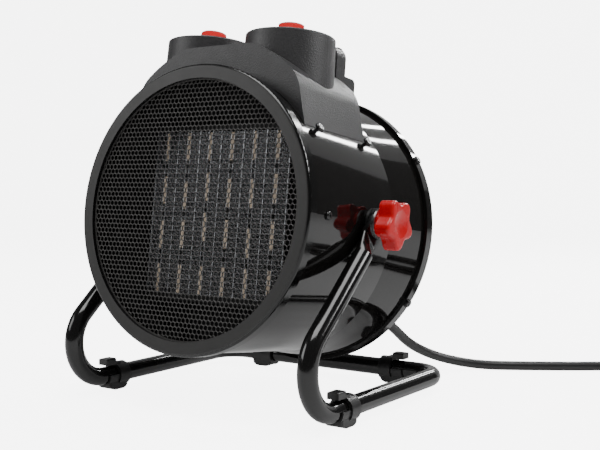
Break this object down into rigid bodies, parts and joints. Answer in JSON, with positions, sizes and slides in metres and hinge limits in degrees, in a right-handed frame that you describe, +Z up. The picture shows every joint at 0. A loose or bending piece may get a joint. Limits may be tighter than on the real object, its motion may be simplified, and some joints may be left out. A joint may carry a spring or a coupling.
{
  "type": "ceramic space heater",
  "caption": "Portable round drum fan heater with a ceramic element, two recessed rotary knobs, a top handle and a bent tube tilt stand.",
  "frame": {"origin": "on the floor under the middle of the stand, measured without the free mains cord, its coil and its plug", "axes": "+Z up, +X to the heater's left-hand side as it blows (right in a front view), +Y to the back, air blows toward -Y"},
  "size_m": [0.4879, 0.415, 0.3014],
  "materials": {
    "stand_gloss_black": "gloss black powder coat",
    "drum_gloss_black": "gloss black enamel on steel sheet",
    "bezel_plastic": "satin dark grey face, gloss black side, heat-proof",
    "housing_plastic": "fine textured dark grey plastic",
    "knob_red": "glossy red plastic",
    "star_red": "glossy red plastic",
    "foot_plastic": "satin black plastic",
    "screw_steel": "gloss black plated steel",
    "zinc_steel": "zinc plated steel",
    "grille_wire": "grey steel mesh",
    "fin_aluminium": "bare aluminium",
    "chip_ceramic": "unglazed beige ceramic and resin",
    "galvanised_sheet": "galvanised steel sheet",
    "cord_rubber": "matt black rubber sheath",
    "plug_plastic": "moulded black rubber",
    "pin_brass": "nickel plated brass",
    "copper_enamel": "enamelled copper winding",
    "fan_plastic": "pressed aluminium",
    "control_plastic": "dark phenolic",
    "terminal_nylon": "cream nylon",
    "bearing_bronze": "sintered bronze"
  },
  "bodies": {
    "stand": {"stand_tube": "stand_gloss_black", "foot_front_left": "foot_plastic", "foot_front_right": "foot_plastic", "foot_rear_left": "foot_plastic", "foot_rear_right": "foot_plastic", "power_cord": "cord_rubber", "cord_coil": "cord_rubber", "mains_plug": "plug_plastic", "plug_pins": "pin_brass"},
    "drum": {"front_bezel": "bezel_plastic", "front_grille": "grille_wire", "drum_shell": "drum_gloss_black", "rear_cover": "drum_gloss_black", "control_housing": "housing_plastic", "carry_handle": "housing_plastic", "selector_body": "control_plastic", "thermostat_body": "control_plastic", "terminal_block": "terminal_nylon", "housing_screws": "screw_steel", "rim_screws": "screw_steel", "baffle_screws": "screw_steel", "handle_screws": "screw_steel", "ptc_chips": "chip_ceramic", "fin_strips": "fin_aluminium", "electrode_plates": "fin_aluminium", "fin_plates": "fin_aluminium", "element_rail_top": "galvanised_sheet", "element_rail_bottom": "galvanised_sheet", "baffle_plate": "galvanised_sheet", "element_terminals": "pin_brass", "thermal_cutout": "control_plastic", "motor_stator": "galvanised_sheet", "motor_coil": "copper_enamel", "motor_bracket_front": "galvanised_sheet", "motor_bracket_rear": "galvanised_sheet", "bearing_front": "bearing_bronze", "bearing_rear": "bearing_bronze", "motor_spider": "galvanised_sheet", "motor_screws": "screw_steel", "fan_shroud": "galvanised_sheet", "pivot_bush_left": "foot_plastic", "pivot_bush_right": "foot_plastic", "cable_gland": "cord_rubber"},
    "fan": {"fan_impeller": "fan_plastic", "motor_shaft": "zinc_steel", "motor_rotor": "zinc_steel"},
    "selector": {"selector_knob": "knob_red", "selector_spindle": "control_plastic"},
    "thermostat": {"thermostat_knob": "knob_red", "thermostat_spindle": "control_plastic"},
    "clamp_left": {"clamp_washer_left": "zinc_steel"},
    "clamp_right": {"clamp_washer_right": "zinc_steel"},
    "star_left": {"star_knob_left": "star_red", "clamp_stud_left": "zinc_steel"},
    "star_right": {"star_knob_right": "star_red", "clamp_stud_right": "zinc_steel"}
  },
  "joints": [
    {"name": "drum_tilt", "type": "hinge", "parent": "stand", "child": "drum", "pos_m": [0, -0.002, 0.1443], "axis": [1, 0, 0], "range_deg": [-35, 15], "deforming": ["power_cord"]},
    {"name": "fan_spin", "type": "hinge", "parent": "drum", "child": "fan", "pos_m": [0, 0.01387, 0.14227], "axis": [0, 0.9919, -0.1271], "continuous": true},
    {"name": "selector_turn", "type": "hinge", "parent": "drum", "child": "selector", "pos_m": [0.0402, -0.01583, 0.27713], "axis": [0, 0.1271, 0.9919], "range_deg": [0, 135]},
    {"name": "thermostat_turn", "type": "hinge", "parent": "drum", "child": "thermostat", "pos_m": [-0.0402, -0.01583, 0.27713], "axis": [0, 0.1271, 0.9919], "range_deg": [0, 270]},
    {"name": "clamp_slide_right", "type": "slide", "parent": "drum", "child": "clamp_right", "axis": [1, 0, 0], "range_m": [0, 0.0025]},
    {"name": "star_turn_right", "type": "hinge", "parent": "clamp_right", "child": "star_right", "pos_m": [0.12, -0.002, 0.1443], "axis": [1, 0, 0], "range_deg": [0, 720]},
    {"name": "clamp_slide_left", "type": "slide", "parent": "drum", "child": "clamp_left", "axis": [-1, 0, 0], "range_m": [0, 0.0025]},
    {"name": "star_turn_left", "type": "hinge", "parent": "clamp_left", "child": "star_left", "pos_m": [-0.12, -0.002, 0.1443], "axis": [-1, 0, 0], "range_deg": [0, 720]}
  ],
  "couplings": [
    {"joint": "star_turn_right", "follows": "clamp_slide_right", "rad_per_m": 5026.5},
    {"joint": "star_turn_left", "follows": "clamp_slide_left", "rad_per_m": 5026.5}
  ]
}
